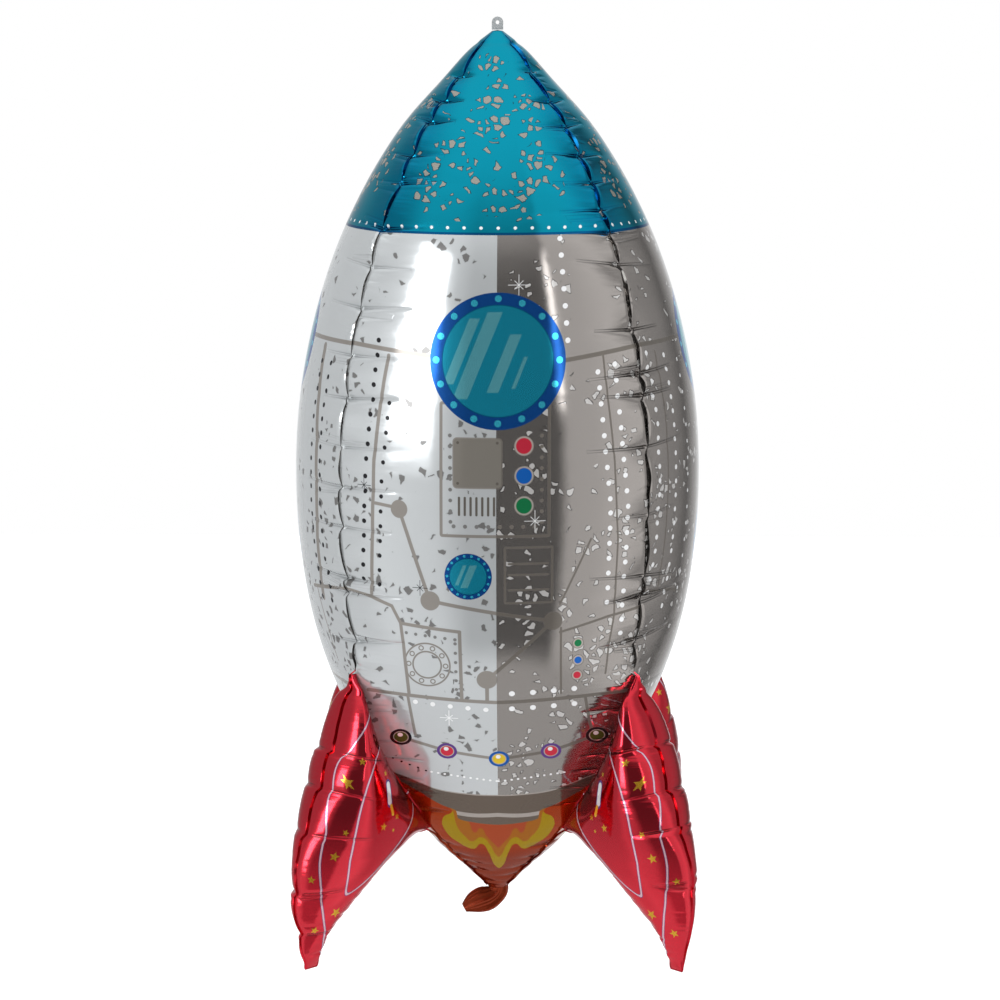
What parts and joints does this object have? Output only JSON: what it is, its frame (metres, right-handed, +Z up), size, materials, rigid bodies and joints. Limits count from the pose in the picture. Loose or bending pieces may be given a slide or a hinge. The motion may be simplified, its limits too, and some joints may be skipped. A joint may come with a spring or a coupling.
{
  "type": "rocket foil balloon",
  "caption": "Inflated foil balloon shaped as a finned toy rocket, made of printed film panels sealed along flat seams, hung by a punched tab at its nose.",
  "frame": {"origin": "hole of the hanging tab at the nose tip", "axes": "+Z up along the axis towards the nose tip, printed front towards -Y, +X to the right as seen from the front; fins on the diagonals"},
  "size_m": [0.3252, 0.3252, 0.7374],
  "materials": {
    "nose_foil": "metallised film, blue print",
    "hull_foil": "metallised film, silver print",
    "flame_foil": "metallised film, orange print",
    "fin_foil": "metallised film, red print",
    "seam_foil": "flat heat-sealed film"
  },
  "bodies": {
    "root": {"nose_front": "nose_foil", "nose_right": "nose_foil", "nose_back": "nose_foil", "nose_left": "nose_foil", "hull_front": "hull_foil", "hull_right": "hull_foil", "hull_back": "hull_foil", "hull_left": "hull_foil", "flame_front": "flame_foil", "flame_right": "flame_foil", "flame_back": "flame_foil", "flame_left": "flame_foil", "fin_front_right_front_face": "fin_foil", "fin_front_right_right_face": "fin_foil", "fin_back_right_right_face": "fin_foil", "fin_back_right_back_face": "fin_foil", "fin_back_left_back_face": "fin_foil", "fin_back_left_left_face": "fin_foil", "fin_front_left_left_face": "fin_foil", "fin_front_left_front_face": "fin_foil", "seam_front_right": "seam_foil", "seam_back_right": "seam_foil", "seam_back_left": "seam_foil", "seam_front_left": "seam_foil", "hanging_tab": "nose_foil", "filling_neck": "flame_foil"}
  },
  "joints": []
}
